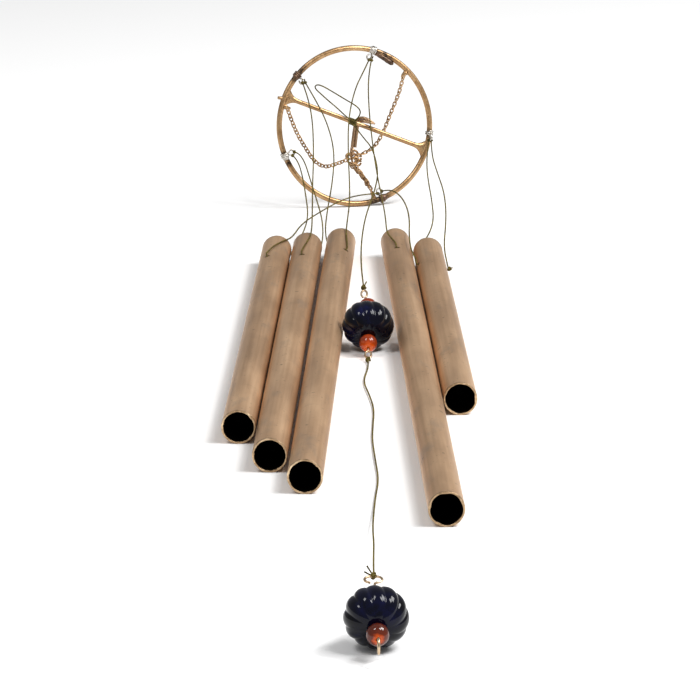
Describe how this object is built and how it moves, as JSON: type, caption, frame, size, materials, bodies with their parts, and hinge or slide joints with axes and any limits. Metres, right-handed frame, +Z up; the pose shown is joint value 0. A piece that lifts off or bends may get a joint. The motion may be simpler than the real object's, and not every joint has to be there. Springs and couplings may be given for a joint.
{
  "type": "wind chime",
  "caption": "Wind chime laid flat: copper tubes and strung glass beads below a wire ring with a crossbar, chains and a hanging hook.",
  "frame": {"origin": "centre of the footprint, on the table the chime lies on", "axes": "+Z up from the table, +Y from the beads towards the top ring, +X to the right seen from the bead end"},
  "size_m": [0.095, 0.6997, 0.0734],
  "materials": {
    "ring_copper": "satin, warm brass-copper",
    "braze": "satin, flared brazing metal",
    "clip_wire": "dull tinned wire",
    "chain_metal": "tarnished",
    "hook_metal": "tarnished",
    "tube_copper": "satin, weathered copper",
    "pin_metal": "bright wire",
    "string": "twisted cord",
    "bead_glass": "glossy, almost black",
    "spacer_glass": "glossy, orange"
  },
  "bodies": {
    "frame": {"ring": "ring_copper", "ring_lap_joint": "braze", "crossbar": "ring_copper", "crossbar_braze_left": "braze", "crossbar_braze_right": "braze", "string_clip_a": "clip_wire", "string_clip_b": "clip_wire", "string_clip_c": "clip_wire", "string_clip_d": "clip_wire", "string_clip_e": "clip_wire", "chain_anchor_left": "chain_metal", "chain_anchor_right": "chain_metal", "chain_anchor_lower": "chain_metal", "chain_left": "chain_metal", "chain_right": "chain_metal", "chain_lower": "chain_metal", "tube_string_1": "string", "tube_string_2": "string", "tube_string_3": "string", "tube_string_4": "string", "tube_string_5": "string", "tube_knot_5": "string", "centre_string": "string", "string_tail": "string", "bar_knot": "string", "striker_knot": "string"},
    "hook": {"hanging_hook": "hook_metal", "junction_ring": "chain_metal"},
    "tube_1": {"tube_1": "tube_copper"},
    "tube_2": {"tube_2": "tube_copper"},
    "tube_3": {"tube_3": "tube_copper"},
    "tube_4": {"tube_4": "tube_copper"},
    "tube_5": {"tube_5": "tube_copper"},
    "striker": {"striker_pin": "pin_metal"},
    "striker_bead": {"striker_bead": "bead_glass"},
    "striker_spacer_far": {"striker_spacer_far": "spacer_glass"},
    "striker_spacer_near": {"striker_spacer_near": "spacer_glass"},
    "catcher": {"catcher_pin": "pin_metal", "lower_string": "string", "lower_knot": "string", "catcher_knot": "string"},
    "catcher_bead": {"catcher_bead": "bead_glass"},
    "catcher_spacer_far": {"catcher_spacer_far": "spacer_glass"},
    "catcher_spacer_near": {"catcher_spacer_near": "spacer_glass"}
  },
  "joints": [
    {"name": "hook_swing", "type": "hinge", "parent": "frame", "child": "hook", "pos_m": [0.0062, 0.33901, 0.03654], "axis": [0.9096, 0.1749, -0.3769], "range_deg": [-10, 10], "deforming": ["chain_left", "chain_right", "chain_lower"]},
    {"name": "tube_1_lift", "type": "hinge", "parent": "frame", "child": "tube_1", "pos_m": [-0.0318, 0.2115, 0], "axis": [-0.9995, 0.0305, 0], "range_deg": [0, 35], "deforming": ["tube_string_1"]},
    {"name": "tube_2_lift", "type": "hinge", "parent": "frame", "child": "tube_2", "pos_m": [-0.0185, 0.2175, 0], "axis": [-0.9996, 0.0298, 0], "range_deg": [0, 35], "deforming": ["tube_string_2"]},
    {"name": "tube_3_lift", "type": "hinge", "parent": "frame", "child": "tube_3", "pos_m": [-0.0039, 0.2265, 0], "axis": [-0.9995, 0.0314, 0], "range_deg": [0, 35], "deforming": ["tube_string_3"]},
    {"name": "tube_4_lift", "type": "hinge", "parent": "frame", "child": "tube_4", "pos_m": [0.0198, 0.2265, 0], "axis": [-0.9995, -0.0314, 0], "range_deg": [0, 35], "deforming": ["tube_string_4"]},
    {"name": "tube_5_lift", "type": "hinge", "parent": "frame", "child": "tube_5", "pos_m": [0.0338, 0.2075, 0], "axis": [-0.9995, -0.0305, 0], "range_deg": [0, 35], "deforming": ["tube_string_5", "tube_knot_5"]},
    {"name": "striker_lift", "type": "hinge", "parent": "frame", "child": "striker", "pos_m": [0.0057, 0.07685, 0.01974], "axis": [-1, 0, 0], "range_deg": [0, 30]},
    {"name": "catcher_lift", "type": "hinge", "parent": "striker", "child": "catcher", "pos_m": [0.0072, 0.03762, 0.00139], "axis": [-1, 0, 0], "range_deg": [0, 45], "deforming": ["lower_string"]},
    {"name": "striker_bead_spin", "type": "hinge", "parent": "striker", "child": "striker_bead", "pos_m": [0.0072, 0.0574, 0.0102], "axis": [0, 0.9135, 0.4067], "continuous": true},
    {"name": "striker_spacer_far_spin", "type": "hinge", "parent": "striker", "child": "striker_spacer_far", "pos_m": [0.0072, 0.06827, 0.01504], "axis": [0, 0.9135, 0.4067], "continuous": true},
    {"name": "striker_spacer_near_spin", "type": "hinge", "parent": "striker", "child": "striker_spacer_near", "pos_m": [0.0072, 0.04653, 0.00536], "axis": [0, 0.9135, 0.4067], "continuous": true},
    {"name": "catcher_bead_spin", "type": "hinge", "parent": "catcher", "child": "catcher_bead", "pos_m": [0.0081, -0.3266, 0.01025], "axis": [-0.0344, 0.9842, 0.1736], "continuous": true},
    {"name": "catcher_spacer_far_spin", "type": "hinge", "parent": "catcher", "child": "catcher_spacer_far", "pos_m": [0.00769, -0.31489, 0.01232], "axis": [-0.0344, 0.9842, 0.1736], "continuous": true},
    {"name": "catcher_spacer_near_spin", "type": "hinge", "parent": "catcher", "child": "catcher_spacer_near", "pos_m": [0.00851, -0.33831, 0.00818], "axis": [-0.0344, 0.9842, 0.1736], "continuous": true}
  ]
}
